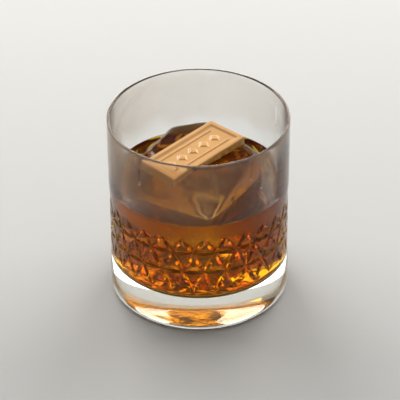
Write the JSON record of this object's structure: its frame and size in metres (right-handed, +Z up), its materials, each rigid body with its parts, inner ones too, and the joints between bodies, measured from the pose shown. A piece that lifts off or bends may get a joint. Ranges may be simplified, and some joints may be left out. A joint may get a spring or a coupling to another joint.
{
  "type": "old fashioned cocktail",
  "caption": "Old fashioned cocktail in a straight cut-band rocks glass, with a large clear ice block and a blond chocolate bar resting on it.",
  "frame": {"origin": "middle of the glass's underside, in the plane that it rests on", "axes": "+Z up along the glass's axis, -Y towards the front, where the ice shows its near corner, +X to the right"},
  "size_m": [0.0846, 0.0846, 0.0923],
  "materials": {
    "glass": "clear, with a cut band and a cold haze on the outside above the drink",
    "drink": "clear amber liquid",
    "ice_block": "wet, clear, slightly melted",
    "chocolate_bar": "satin, moulded blond chocolate"
  },
  "bodies": {
    "root": {"glass": "glass", "drink": "drink", "ice_block": "ice_block", "chocolate_bar": "chocolate_bar"}
  },
  "joints": []
}
